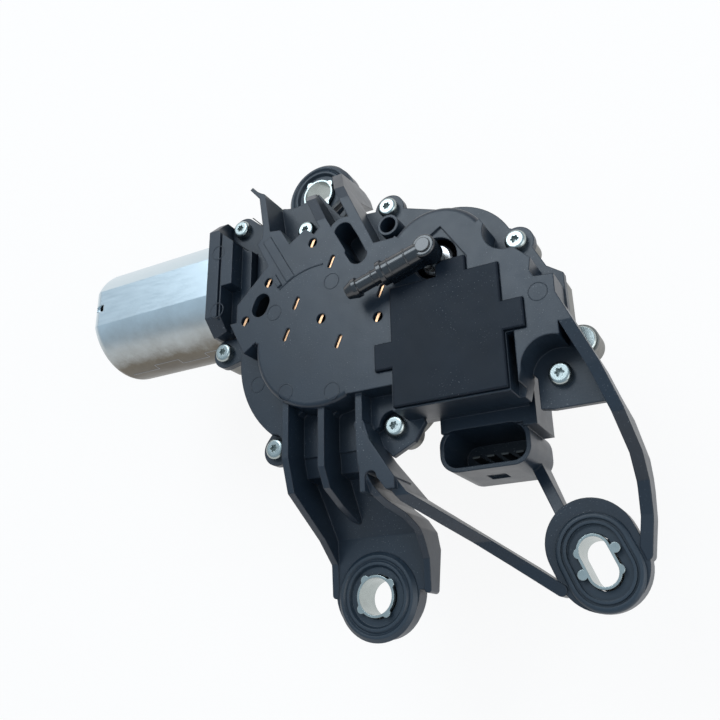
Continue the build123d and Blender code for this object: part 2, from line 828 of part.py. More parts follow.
def left_arm():
    """Lower arm: three deep ribs on a stepped floor, down to its ring."""
    low = [
        (-38, flange_bottom), (-62, flange_bottom), (-68, slope_start - arm_floor),
        (-90, ring_top - arm_floor), (-96, ring_bottom), (-113, ring_bottom),
    ]
    outer = rib(
        [(-64.0, -41), (-63.8, -64), (-62.2, -76.7), (-61.0, -91), (-60.6, -100), (-60.6, -110)], rib_wall,
        [(-38, -2), (-64, -2), (-76.7, -4), (-91, -24), (-99, -32.4), (-113, ring_top)], low,
    )
    middle = rib(
        [(-48.5, -44), (-48.5, -84)], rib_wall,
        [(-38, -2), (-69, -2), (-76, -6), (-81, -16), (-86, -30)], low[:4],
    )
    inner = rib(
        [(-33, -43), (-33, -62), (-32.2, -73), (-30.4, -78.5), (-27.4, -83), (-23.4, -86.6), (-21.4, -90.5),
         (-21.6, -96), (-22.3, -103), (-23.0, -110)], rib_wall,
        [(-38, -2), (-70, -2), (-76, -3), (-81, -7), (-84.5, -12), (-88, -18), (-92.5, -24), (-100, -30),
         (-113, ring_top)], low,
    )
    high = [
        (-38, pocket_level), (-58, pocket_level), (-69.5, pocket_level - 1.5), (-70.5, slope_start),
        (-90, ring_top), (-113, ring_top),
    ]
    floor = plan(*high, *reversed(low))
    area = plan(
        (-64, -41), (-63.8, -64), (-60.6, -100), (-60.6, -110), (-23, -110), (-21.6, -92), (-32.2, -73),
        (-33, -41),
    )
    return outer + middle + inner + (extrude(Plane.YZ * floor, 120, both=True) & raise_face(area, -50, 0))


def arm_pockets():
    """Two pockets between the arm's ribs, from the disc outward."""
    width = (64.0 - 33.0) / 2 - rib_wall
    faces = []
    for x in (-56.25, -40.75):
        face = Pos(x, -55) * Rectangle(width, 30) - Pos(*wheel_place) * Circle(disc_radius)
        faces.append(fillet([corner for corner in face.vertices() if corner.Y > -60], 2.2))
    return faces


def v_web():
    """Plate that joins the inner rib to the strut, with a round notch where they part."""
    web = plan((-34, -44), (-33, -56), (-20, -76.0), (-20, -80), (-33, -80))
    web -= Pos(-28.9, -75.2) * Circle(2.2)
    web -= plan((-31.1, -75.2), (-26.7, -75.2), (-19, -86), (-31.1, -86))
    return raise_face(web, flange_bottom, -2.0)


def top_arm():
    """Upper arm: two ribs with a sunk trough between, out to its ring, and the hooked fin beside them."""
    low = [(10, flange_bottom), (43, flange_bottom), (51, -34), (60, ring_bottom), (66, ring_bottom)]
    first = rib(
        [(-38.5, 13), (-47, 29.5), (-54, 43.5), (-58.5, 51), (-62, 56)], top_rib_wall,
        [(10, 0), (30, 0), (43.5, -3.5), (51, -11), (57, -30), (66, ring_top)], low,
    )
    second = rib(
        [(-26.0, 12), (-36.3, 36), (-39.5, 43), (-46, 57), (-49.5, 64)], top_rib_wall,
        [(10, 0), (37, 0), (43, -1), (57, -11), (63, -28), (66, ring_top)], low,
    )
    floor = panel((-46, 44.5, seat_level, flange_bottom), (-58, 62.5, ring_top, ring_bottom), 13)
    hook = plan(
        (-82.2, 55.2), (-79.6, 57.1), (-76.3, 55.9), (-74.3, 49.0), (-71.9, 34.0), (-71.4, 28.9),
        (-75.4, 28.0), (-75.1, 34.7), (-77.3, 49.4),
    )
    web = panel((-70, 44, seat_level, flange_bottom), (-70, 56, ring_top, ring_bottom), 20)
    return first + second + floor + raise_face(hook, flange_bottom, 0) + web


def trough(grow):
    """Round-ended trough between the upper arm's ribs."""
    length = trough_length + trough_width + 2 * grow
    return Pos(*trough_place) * Rot(0, 0, trough_angle) * SlotOverall(length, trough_width + 2 * grow)


def struts():
    """Open frame that carries the right-hand ring."""
    left = rib(
        [(-33, -56), (-30.2, -65), (-18.7, -82.2), (24.0, -113.4)], strut_wall,
        [(-50, -2), (-70, -2.4), (-82, -5), (-91, -16), (-97, -24), (-105, -29), (-116, ring_top)],
        [(-50, flange_bottom), (-63, flange_bottom), (-82, -24), (-95, -33), (-105, ring_bottom),
         (-116, ring_bottom)],
    )
    right = rib(
        [(39.3, -25), (43.2, -34.5), (49.4, -49.5), (53.7, -63.5), (55.4, -74.5), (54.9, -84), (54.0, -93),
         (52.0, -104)], strut_wall,
        [(-22, 0), (-34, 0), (-49, -3), (-64, -8), (-73, -18), (-82, -28), (-92, -32), (-108, ring_top)],
        [(-22, flange_bottom), (-49, flange_bottom), (-57, -18), (-63, -25), (-80, -37), (-92, ring_bottom),
         (-108, ring_bottom)],
    )
    middle = panel((18.5, -70.0, -38, -49), (27.0, -90.0, -33.8, ring_bottom), strut_wall)
    return left + right + middle + v_web()


def ring_place(place):
    shift = ring_shift[place]
    return (place[0] + shift[0], place[1] + shift[1])


def rings():
    """Flat rings that hold the rubber grommets."""
    body = raise_face(Pos(*ring_place(right_ring)) * stretched(oval_ring_radius), ring_bottom, ring_top)
    for place in (left_ring, top_ring):
        body += rod(*ring_place(place), ring_radius, ring_bottom, ring_top)
    return body


def ring_bores():
    cut = rod(*left_ring, ring_bore, ring_bottom - 4, ring_top)
    cut += rod(*top_ring, ring_bore, ring_bottom - 4, ring_top)
    cut += rod(*left_ring, grommet_radius + 0.6, ring_top, 0)
    cut += rod(*top_ring, grommet_radius + 0.6, ring_top, 0)
    cut += raise_face(Pos(*right_ring) * stretched(oval_bore), ring_bottom - 4, ring_top)
    return cut + raise_face(Pos(*right_ring) * stretched(oval_grommet_radius + 0.6), ring_top, 0)


def socket_outline(inset):
    outline = Rectangle(socket_length - 2 * inset, socket_width - 2 * inset)
    return Pos(socket_x, socket_y) * fillet(outline.vertices(), socket_corner - inset)


def connector():
    """Oval socket, the neck that joins it to the box, and the block round the blades' bends."""
    body = raise_face(socket_outline(0), socket_bottom, socket_top)
    body += block(-10, 25, socket_y + 6, -40, -42, box_bottom + 1)
    body += block(20, 25, -60, -40, -42, box_bottom + 1)
    cheek = blade_pitch * (blade_count - 1) / 2 + blade_width / 2 + socket_wall
    far = blade_rise + socket_wall + 1
    body += block(socket_x - cheek, socket_x + cheek, socket_y + 6, far, socket_bottom, -41)
    body -= raise_face(socket_outline(socket_wall), socket_bottom + socket_floor, 0)
    near = socket_y - socket_width / 2
    return body - block(socket_x - 3.5, socket_x + 3.5, near - 1, near + 1, -40, -33)


def nose_room(gap):
    """Space for the housing's motor flange and the brush block."""
    width = holder_half_width + gap
    room = block(holder_start - 30, nose_start + gap, motor_y - width, motor_y + width, base_level, 5)
    return room - raise_face(ear_face(0, 0), flange_bottom - 1, 5)


def box_hollow():
    return block(box_left + box_wall, box_right - box_wall, box_near + box_wall, box_far - box_wall,
                 box_bottom + box_wall, 5)


def lid_seat(gap):
    return raise_face(lid_face(gap), lid_bottom, 10)


def lid_face(grow=0.0):
    """Stepped outline of the box lid."""
    face = Pos((box_left + box_right) / 2, (box_near + box_far) / 2) * Rectangle(
        box_right - box_left + 2 * grow, box_far - box_near + 2 * grow)
    tabs = [
        (0.3, 11.4, box_far - 1, -2.5), (box_right - 1, 30.2, -33.7, -23.2),
        (-24.5, box_left + 1, -39.0, -29.0),
    ]
    for x0, x1, y0, y1 in tabs:
        face += Pos((x0 + x1) / 2, (y0 + y1) / 2) * Rectangle(x1 - x0 + 2 * grow, y1 - y0 + 2 * grow)
    return face


def cover_holes():
    """Slots and round holes through the plate."""
    cuts = []
    for x, y in ((-58.5, -3.7), (-62.8, -16.0), (-39.8, -23.7), (-42.7, 10.2), (-21.9, -7.5)):
        slot = Pos(x, y) * Rot(0, 0, 66) * SlotOverall(5.5, 1.8)
        cuts.append(raise_face(slot, -6, 1))
    for x, y in ((-51.0, 20.8), (-71.6, 8.5), (-82.4, -5.8), (-47.2, -12.8), (-23.3, -17.6)):
        cuts.append(rod(x, y, 2.0, -6, 1))
    oval_hole = Pos(-75.1, -0.6) * Rot(0, 0, 66) * SlotOverall(10.0, 7.4)
    cuts.append(raise_face(oval_hole, -12, 1))
    return cuts


def rounded_rim(centre, radius, size, start, end):
    """Corner to cut from a round edge of the plate between two bearings."""
    corner = Pos(radius, 0) * Rectangle(2 * size, 2 * size) - Pos(radius - size, -size) * Circle(size)
    corner -= Pos(radius - 1.5 * size, 0) * Rectangle(size, 2 * size)
    return Pos(*centre) * Rot(0, 0, start) * revolve(Plane.XZ * corner, Axis.Z, end - start)


def cover_shell():
    """Hollow plate, terrace and flange, with the arm's pockets and the trough."""
    body = raise_face(flange_face(), flange_bottom, seat_level)
    body += rod(*wheel_place, case_radius, flange_bottom, terrace_level)
    body += raise_face(plate_face(), flange_bottom, 0)
    body -= rounded_rim(wheel_place, disc_radius, disc_edge, 176, 294)
    body -= rounded_rim((0, 0), dome_radius, dome_edge, 31, 139)
    body -= rod(*wheel_place, wheel_room, flange_bottom, terrace_level - plate_wall)
    body -= raise_face(offset(plate_face(), -skirt_wall), flange_bottom, -plate_wall)
    below = Pos(-48.5, -52) * Rectangle(32, 20) - Pos(*wheel_place) * Circle(disc_radius - skirt_wall)
    body += raise_face(below, flange_bottom, terrace_level - plate_wall)
    for pocket in arm_pockets():
        body -= raise_face(pocket, pocket_level, 1)
    body += raise_face(trough(skirt_wall), flange_bottom, 0)
    return body - raise_face(trough(0), trough_floor, 1)


def make_cover():
    """Moulded cover and carrier in one piece."""
    body = cover_shell()
    body += pipe(-19, 20.2, 4.3, 3.2, flange_bottom, -2)
    shoulder = block(box_left, box_right + 4.0, box_near, box_far, flange_bottom, 0)
    body += shoulder & raise_face(plate_face(), -30, 0)
    body += block(box_left, box_right, box_near, box_far, box_bottom, 0)
    body += left_arm() + top_arm() + struts() + rings() + connector()
    body += rod(*wheel_place, pivot_radius + 1.5, track_top + 2.5, -plate_wall)
    body += rod(*wheel_place, pivot_radius, switch_bottom, -plate_wall)
    body -= box_hollow()
    body -= lid_seat(0.15)
    body -= block(box_right + 0.5, box_right + 3.2, -60, -34.2, side_groove, 1)
    body -= nose_room(loose_gap)
    body -= ring_bores()
    body -= raise_face(Rot(0, 0, window_turn) * Rectangle(window_size, window_size), -window_recess, 1)
    body -= rod(0, 0, shaft_window, -plate_wall - 1, 1)
    for cut in cover_holes():
        body -= cut
    for x in cover_pins():
        body -= blade(x, 0.03)
    for place in screw_places:
        body -= rod(*place, screw_shank_radius + loose_gap, flange_bottom - 1, seat_level + 1)
        body -= rod(*place, screw_head_radius + 1.2, seat_level, 2)
    return body


def make_lid():
    """Stepped lid with a bevelled rim."""
    lid = raise_face(lid_face(), lid_bottom, lid_top)
    lid = chamfer(lid.faces().sort_by(Axis.Z)[-1].edges(), 0.4)
    return lid - rod(0, 0, shaft_bore + 0.8, lid_bottom, lid_top)


def cover_pins():
    """Places of the connector's blades along the socket."""
    first = socket_x - blade_pitch * (blade_count - 1) / 2
    return [first + blade_pitch * index for index in range(blade_count)]


def blade(x, grow):
    """Bent blade from the socket, under the box, up to the circuit board."""
    tip = socket_top - blade_depth
    low = socket_bottom + 1.6
    half = blade_width / 2 + grow
    wall = blade_wall / 2 + grow
    upright = block(x - half, x + half, socket_y - wall, socket_y + wall, low - wall, tip)
    run = block(x - half, x + half, socket_y - wall, blade_rise + wall, low - wall, low + wall)
    foot = board_level - board_wall
    riser = block(x - half, x + half, blade_rise - wall, blade_rise + wall, low - wall, foot)
    return upright + run + riser


def make_connector_pins():
    return [blade(x, 0) for x in cover_pins()]


def board_outline():
    inset = box_wall + 0.5
    return (box_left + inset, box_right - inset, box_near + inset, box_far - inset)


def make_circuit_board():
    x0, x1, y0, y1 = board_outline()
    board = block(x0, x1, y0, y1, board_level - board_wall, board_level)
    for x, y in board_posts():
        board -= rod(x, y, 1.0, -20, 0)
    return board


def board_posts():
    x0, x1, y0, y1 = board_outline()
    return [(x, y) for x in (x0 + 2.5, x1 - 2.5) for y in (y0 + 2.5, y1 - 2.5)]


def make_relay():
    body = block(-11, 8, -30, -14.5, board_level, board_level + 11.0)
    return chamfer(body.faces().sort_by(Axis.Z)[-1].edges(), 0.6)


def make_capacitor():
    can = rod(15.5, -16.5, 4.0, board_level, board_level + 10.5)
    return fillet(can.faces().sort_by(Axis.Z)[-1].edges(), 0.5)


def make_chip():
    """Flat control chip with its gull-wing leads."""
    body = block(-2, 10, -44, -36, board_level + 0.15, board_level + 2.2)
    leads = []
    for index in range(8):
        x = -0.9 + 1.4 * index
        leads.append(block(x - 0.25, x + 0.25, -45.6, -34.4, board_level, board_level + 0.5))
    for lead in leads:
        body += lead
    return body


def make_grommet(place):
    """Rubber grommet: top flange with a ring groove, neck in the carrier, lower flange."""
    neck = ring_bore - loose_gap
    bore = sleeve_radius + loose_gap
    top = ring_top + grommet_lip
    low = ring_bottom - grommet_foot
    groove = (bore + 3.4 + grommet_radius - 1.4) / 2
    profile = plan(
        (bore, low), (neck + 1.8, low), (neck + 2.6, low + 1.2), (neck + 2.6, ring_bottom),
        (neck, ring_bottom),
        (neck, ring_top), (grommet_radius, ring_top), (grommet_radius, top - 1.4),
        (grommet_radius - 1.4, top),
        (groove + lip_groove, top), (groove, top - lip_groove), (groove - lip_groove, top),
        (bore + 3.4, top), (bore + 2.6, top - 1.4), (bore, top - 1.4),
    )
    return Pos(*place, 0) * revolve(Plane.XZ * profile, Axis.Z)


def make_oval_grommet():
    """Oval grommet of the same section."""
    top = ring_top + grommet_lip
    low = ring_bottom - grommet_foot
    flange = raise_face(stretched(oval_grommet_radius), ring_top, top)
    flange = fillet(flange.faces().sort_by(Axis.Z)[-1].edges(), 1.4)
    groove = oval_sleeve_radius + 4.4
    flange -= raise_face(stretched(groove + lip_groove) - stretched(groove), top - lip_groove, top)
    body = flange + raise_face(stretched(oval_bore - loose_gap), ring_bottom, ring_top)
    body += raise_face(stretched(oval_bore + 2.0), low, ring_bottom)
    body -= raise_face(stretched(oval_sleeve_radius + 3.3), top - 1.4, top)
    body -= raise_face(stretched(oval_sleeve_radius + loose_gap), low, top)
    return Pos(*right_ring, 0) * body


def crimp_lobes(place, radius, count):
    lobes = []
    for index in range(count):
        x, y = polar(place, radius, 360 / count * index + 35)
        lobes.append(rod(x, y, 1.7, sleeve_top - 0.9, sleeve_top))
    return lobes


def make_sleeve(place):
    """Steel spacer sleeve with crimped lobes at its rim."""
    sleeve = rod(*place, sleeve_radius, sleeve_bottom, sleeve_top)
    for lobe in crimp_lobes(place, sleeve_radius - 0.4, 4):
        sleeve += lobe
    return sleeve - rod(*place, sleeve_radius - sleeve_wall, sleeve_bottom, sleeve_top)


def make_oval_sleeve():
    """Oval spacer sleeve, which leaves room for fitting tolerance."""
    outline = stretched(oval_sleeve_radius)
    sleeve = Pos(*right_ring, 0) * raise_face(outline, sleeve_bottom, sleeve_top)
    for lobe in crimp_lobes(right_ring, oval_sleeve_radius + 1.2, 6):
        sleeve += lobe
    hole = raise_face(stretched(oval_sleeve_radius - sleeve_wall), sleeve_bottom, sleeve_top)
    return sleeve - Pos(*right_ring, 0) * hole


def make_screws():
    """Pan-head screws with a six-lobed recess."""
    screws = []
    for x, y in screw_places:
        head = rod(x, y, screw_head_radius, seat_level, seat_level + screw_head_height)
        head = fillet(head.faces().sort_by(Axis.Z)[-1].edges(), 1.3)
        recess = Circle(1.15) + PolarLocations(1.15, 6) * Circle(0.42)
        head -= Pos(x, y, seat_level + 1.2) * extrude(recess, 4)
        shank = rod(x, y, screw_shank_radius - 0.05, seat_level - screw_length, seat_level)
        screws.append(head + chamfer(shank.faces().sort_by(Axis.Z)[0].edges(), 0.6))
    return screws


def make_elbow():
    """Swivelling elbow: stub in the hollow shaft, head with a raised disc, arm with collar and barb."""
    head = rod(0, 0, elbow_head_radius, lid_top + 0.5, elbow_top - 0.6)
    head = fillet(head.edges().filter_by(GeomType.CIRCLE), 0.8)
    head += rod(0, 0, elbow_disc_radius, elbow_top - 2, elbow_top)
    head += rod(0, 0, shaft_bore - 0.06, -9.0, lid_top + 1.5)
    profile = plan(
        (0, 0), (0, elbow_arm_radius - 0.2), (collar_reach - 3, elbow_arm_radius),
        (collar_reach - 1.2, elbow_arm_radius), (collar_reach - 1.2, elbow_arm_radius + 0.8),
        (collar_reach + 0.6, elbow_arm_radius + 0.8), (collar_reach + 0.6, hose_radius),
        (barb_reach, hose_radius), (barb_reach, barb_radius), (barb_reach + barb_land, barb_radius),
        (elbow_reach, hose_radius - 0.4), (elbow_reach, 0),
    )
    arm = Rot(0, 0, elbow_angle) * revolve(Plane.XZ * profile, Axis.X)
    bore = Rot(0, 0, elbow_angle) * (Rot(0, 90, 0) * extrude(Circle(hose_bore), elbow_reach + 1))
    keel = block(0, collar_reach - 1.2, -keel_half_width, keel_half_width, lid_top + 0.7, elbow_level)
    elbow = head + Pos(0, 0, elbow_level) * arm + Rot(0, 0, elbow_angle) * keel
    elbow -= Pos(0, 0, elbow_level) * bore
    elbow -= rod(0, 0, hose_bore, -10, elbow_level)
    ring = pipe(0, 0, shaft_bore + 1, shaft_bore - 0.9, -6.6, -5.2)
    return elbow - ring


def make_o_ring():
    section = Pos(shaft_bore - 0.45, -5.9) * Circle(0.42)
    return revolve(Plane.XZ * section, Axis.Z)


def make_plug():
    """Steel plug pressed into the side boss."""
    disc = rod(*plug_place, plug_radius - 0.8, plug_top - 5.0, plug_top)
    return chamfer(disc.faces().sort_by(Axis.Z)[-1].edges(), 0.5)


def group(name, shape, colour):
    """Write one node's file."""
    solids = shape if isinstance(shape, list) else [shape]
    node = Compound(label=name, children=[Part() + solid for solid in solids])
    node.color = Color(colour)
    export_step(node, f"parts/{name}.step")
    parts[name] = node


def build_nodes():
    black = "black"
    steel = "lightgray"
    group("gear_cover", make_cover(), black)
    group("box_lid", make_lid(), black)
    group("connector_pins", make_connector_pins(), "tan")
    group("circuit_board", make_circuit_board(), "darkgreen")
    group("board_relay", make_relay(), "gray")
    group("board_capacitor", make_capacitor(), "gray")
    group("board_chip", make_chip(), black)
    group("gear_housing", make_housing(), "gray")
    group("housing_gasket", make_gasket(), black)
    group("housing_plug", make_plug(), steel)
    group("cover_screws", make_screws(), steel)
    group("worm_wheel", make_worm_wheel(), "ivory")
    wheel_axle = rod(*wheel_place, axle_radius, base_level, web_top + 1.2)
    group("wheel_axle", wheel_axle - axle_groove(), steel)
    group("axle_clip", make_axle_clip(), steel)
    group("switch_disc", make_switch_disc(), black)
    group("contact_ring", make_contact_ring(), "orange")
    group("contact_springs", make_contact_springs(), "orange")
    group("crank_link", make_crank_link(), steel)
    group("crank_pin", make_crank_pin(), steel)
    group("output_lever", make_output_lever(), steel)
    group("link_pin", make_link_pin(), steel)
    group("link_clip", make_link_clip(), steel)
    group("output_shaft", make_output_shaft(), steel)
    group("washer_tube", make_washer_tube(), "white")
    group("shaft_bush_inner", bush_ring(drive_floor - bush_length, drive_floor), "orange")
    outer_low = tube_end + 4.5
    group("shaft_bush_outer", bush_ring(outer_low, outer_low + bush_length), "orange")
    bore = shaft_radius + running_gap
    washer = pipe(0, 0, shaft_radius + 4.0, bore, drive_floor, drive_floor + washer_wall)
    group("shaft_washer", washer, steel)
    group("shaft_circlip", make_shaft_circlip(), steel)
    group("shaft_seal", make_shaft_seal(), black)
    group("washer_elbow", make_elbow(), black)
    group("elbow_o_ring", make_o_ring(), black)
    group("motor_can", make_can(), steel)
    group("brush_holder", make_brush_holder(), black)
    group("magnets", make_magnets(), "gray")
    group("armature_shaft", make_worm_shaft(), steel)
    group("armature_core", make_core(), "gray")
    group("armature_windings", make_windings(), "orange")
    group("commutator", make_commutator(), "orange")
    group("brushes", make_brushes(), black)
    group("brush_springs", make_brush_springs(), steel)
    rear = motor_bush(can_end - 1.6, can_end + can_wall + 0.9, rear_bush_radius, motor_shaft_radius)
    group("rear_bush", rear, "orange")
    front = motor_bush(holder_start, nose_start + 3.0, front_bush_radius, motor_shaft_radius)
    group("front_bush", front, "orange")
    tip_low = worm_start + worm_length + 2.0
    group("worm_end_bush", motor_bush(tip_low, shaft_tip, tip_bush_radius, tip_shaft_radius), "orange")
    group("thrust_pad", make_thrust_pad(), "ivory")
    group("grommet_left", make_grommet(left_ring), black)
    group("grommet_top", make_grommet(top_ring), black)
    group("grommet_right", make_oval_grommet(), black)
    group("sleeve_left", make_sleeve(left_ring), steel)
    group("sleeve_top", make_sleeve(top_ring), steel)
    group("sleeve_right", make_oval_sleeve(), steel)


def axle_groove():
    top = web_top + 0.9
    return pipe(*wheel_place, axle_radius + 1, axle_radius - 0.5, top - 0.8, top)


def make_axle_clip():
    """Retaining ring in the axle's groove, over the wheel's hub."""
    top = web_top + 0.9
    ring = Circle(axle_radius + 2.2) - Circle(axle_radius - 0.5 + running_gap)
    ring -= Pos(axle_radius, 0) * Rectangle(5, 2.4)
    return raise_face(Pos(*wheel_place) * ring, top - 0.8, top)


os.makedirs("parts", exist_ok=True)
build_nodes()
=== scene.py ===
"""Wiper motor: looks, fine detail pieces, camera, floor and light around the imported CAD."""
import json
import math

import bmesh
import bpy
from mathutils import Matrix, Vector


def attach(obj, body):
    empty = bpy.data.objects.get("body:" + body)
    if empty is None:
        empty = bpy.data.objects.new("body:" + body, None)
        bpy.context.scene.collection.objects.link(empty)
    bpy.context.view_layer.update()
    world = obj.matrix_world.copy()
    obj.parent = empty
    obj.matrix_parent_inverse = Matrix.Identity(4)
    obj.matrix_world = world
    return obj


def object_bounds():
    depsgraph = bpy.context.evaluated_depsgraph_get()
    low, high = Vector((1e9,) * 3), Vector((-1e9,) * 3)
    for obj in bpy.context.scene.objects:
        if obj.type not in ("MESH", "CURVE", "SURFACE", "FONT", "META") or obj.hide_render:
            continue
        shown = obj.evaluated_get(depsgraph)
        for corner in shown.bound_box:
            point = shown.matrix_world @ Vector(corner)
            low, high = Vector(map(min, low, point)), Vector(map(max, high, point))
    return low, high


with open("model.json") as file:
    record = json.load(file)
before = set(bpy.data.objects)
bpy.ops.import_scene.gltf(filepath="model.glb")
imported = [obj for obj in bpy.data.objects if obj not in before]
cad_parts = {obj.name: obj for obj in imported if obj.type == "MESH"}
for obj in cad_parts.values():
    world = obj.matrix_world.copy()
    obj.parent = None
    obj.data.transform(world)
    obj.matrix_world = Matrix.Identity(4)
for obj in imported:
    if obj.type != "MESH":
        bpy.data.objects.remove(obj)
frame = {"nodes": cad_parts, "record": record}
nodes = frame["nodes"]
cad_box = [list(map(float, corner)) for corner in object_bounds()]

# Node helpers for materials

BLACK = (0.0, 0.0, 0.0, 1.0)
WHITE = (1.0, 1.0, 1.0, 1.0)

# Sockets of a Mix node that mixes colours
MIX_SHARE, MIX_FIRST, MIX_SECOND, MIX_RESULT = 0, 6, 7, 2


class Shader:
    """A material under construction, with short ways to add nodes."""

    def __init__(self, name):
        self.material = bpy.data.materials.new(name)
        self.material.use_nodes = True
        self.tree = self.material.node_tree
        self.bsdf = self.tree.nodes["Principled BSDF"]

    def add(self, kind, **values):
        """Add a node, and set its inputs or its own settings by name."""
        node = self.tree.nodes.new(kind)
        for key, value in values.items():
            if key in node.inputs:
                node.inputs[key].default_value = value
            else:
                setattr(node, key, value)
        return node

    def link(self, source, target):
        self.tree.links.new(source, target)

    def feed(self, value, target):
        """Link an output to an input, or set the input to a plain value."""
        if isinstance(value, bpy.types.NodeSocket):
            self.link(value, target)
        else:
            target.default_value = value

    def set(self, **values):
        """Set the surface's inputs, with underscores for the spaces in their names."""
        for key, value in values.items():
            self.bsdf.inputs[key.replace("_", " ")].default_value = value

    def combine(self, operation, *values):
        """Work out one value from outputs or plain values."""
        node = self.add("ShaderNodeMath", operation=operation)
        for value, target in zip(values, node.inputs):
            self.feed(value, target)
        return node.outputs["Value"]

    def coordinates(self):
        return self.add("ShaderNodeTexCoord").outputs["Object"]

    def noise(self, scale, detail=3.0, roughness=0.55):
        node = self.add("ShaderNodeTexNoise", Scale=scale, Detail=detail, Roughness=roughness)
        self.link(self.coordinates(), node.inputs["Vector"])
        return node.outputs["Fac"]

    def ramp(self, source, stops):
        """Turn a value into a colour by a list of places and colours."""
        node = self.add("ShaderNodeValToRGB")
        while len(node.color_ramp.elements) < len(stops):
            node.color_ramp.elements.new(0.5)
        for element, (place, colour) in zip(node.color_ramp.elements, stops):
            element.position = place
            element.color = colour
        self.link(source, node.inputs["Fac"])
        return node.outputs["Color"]

    def span(self, source, low, high, source_low=0.0, source_high=1.0):
        """Map a value from its own range to low to high."""
        node = self.add("ShaderNodeMapRange")
        node.inputs["From Min"].default_value = source_low
        node.inputs["From Max"].default_value = source_high
        node.inputs["To Min"].default_value = low
        node.inputs["To Max"].default_value = high
        self.link(source, node.inputs["Value"])
        return node.outputs["Result"]

    def surface(self, edge, grain, strength, distance):
        """Rounded-looking edges and a fine bump over them."""
        bevel = self.add("ShaderNodeBevel", Radius=edge, samples=6)
        bump = self.add("ShaderNodeBump", Strength=strength, Distance=distance)
        self.link(grain, bump.inputs["Height"])
        self.link(bevel.outputs["Normal"], bump.inputs["Normal"])
        self.link(bump.outputs["Normal"], self.bsdf.inputs["Normal"])


def shades(base, low, high):
    """Darker and lighter versions of a colour."""
    return [tuple(min(1.0, share * part) for part in base) + (1.0,) for share in (low, high)]


# Dust: fine specks, which show where broad patches let them
DUST_COLOUR = (0.34, 0.35, 0.36, 1.0)
SPECK_SCALE, SPECK_STOPS = 1900.0, [(0.70, BLACK), (0.74, WHITE)]
PATCH_SCALE, PATCH_STOPS = 38.0, [(0.42, BLACK), (0.66, WHITE)]


def dusted(shader, tone, dust):
    """Lay pale specks over a tone."""
    specks = shader.ramp(shader.noise(SPECK_SCALE, detail=1.0), SPECK_STOPS)
    patches = shader.ramp(shader.noise(PATCH_SCALE), PATCH_STOPS)
    amount = shader.combine("MULTIPLY", shader.combine("MULTIPLY", specks, patches), dust)
    blend = shader.add("ShaderNodeMix", data_type="RGBA")
    shader.link(amount, blend.inputs[MIX_SHARE])
    shader.link(tone, blend.inputs[MIX_FIRST])
    blend.inputs[MIX_SECOND].default_value = DUST_COLOUR
    return blend.outputs[MIX_RESULT]


def plastic(name, base, roughness, grain, depth, edge=0.00035, dust=0.0, gloss=0.5):
    """Moulded plastic: slight tone changes, fine grain, softened edges and a little dust."""
    shader = Shader(name)
    shader.set(Specular_IOR_Level=gloss)
    dark, light = shades(base, 0.85, 1.15)
    tone = shader.ramp(shader.noise(45.0, detail=4.0), [(0.3, dark), (0.7, light)])
    if dust:
        tone = dusted(shader, tone, dust)
    shader.link(tone, shader.bsdf.inputs["Base Color"])
    polish = shader.span(shader.noise(160.0), roughness - 0.06, roughness + 0.08)
    shader.link(polish, shader.bsdf.inputs["Roughness"])
    shader.surface(edge, shader.noise(grain, detail=2.0), strength=0.35, distance=depth)
    return shader.material


def metal(name, base, roughness, spread=0.08, edge=0.0002, grain=900.0, depth=0.00002, metallic=1.0):
    """Metal with uneven polish."""
    shader = Shader(name)
    shader.set(Metallic=metallic)
    dark, light = shades(base, 0.92, 1.05)
    tone = shader.ramp(shader.noise(260.0, detail=5.0), [(0.3, dark), (0.72, light)])
    shader.link(tone, shader.bsdf.inputs["Base Color"])
    polish = shader.span(shader.noise(420.0, detail=4.0), roughness - spread, roughness + spread)
    shader.link(polish, shader.bsdf.inputs["Roughness"])
    shader.surface(edge, shader.noise(grain), strength=0.4, distance=depth)
    return shader.material


# Direction across the motor can along which painted shade and a painted brown ground reflection below turn
# into a painted highlight on top, where that starts and ends along it in metres, and how far patches shift it
PAINTED_LIGHT_UPWARD = (0.0, 0.45, 0.89)
PAINTED_LIGHT_LOW, PAINTED_LIGHT_HIGH = -0.024, 0.018
PAINTED_LIGHT_SHIFT = 0.016
# Colours run from painted shade with a painted brown ground reflection, low, to a painted highlight, high
PAINTED_LIGHT_STOPS = [
    (0.05, (0.075, 0.063, 0.046, 1.0)),
    (0.30, (0.14, 0.125, 0.10, 1.0)),
    (0.46, (0.36, 0.38, 0.38, 1.0)),
    (0.85, (0.66, 0.74, 0.78, 1.0)),
]

# Drawing marks are stretched along the can, which lies along x
MARK_STRETCH = (0.12, 1.0, 1.0)


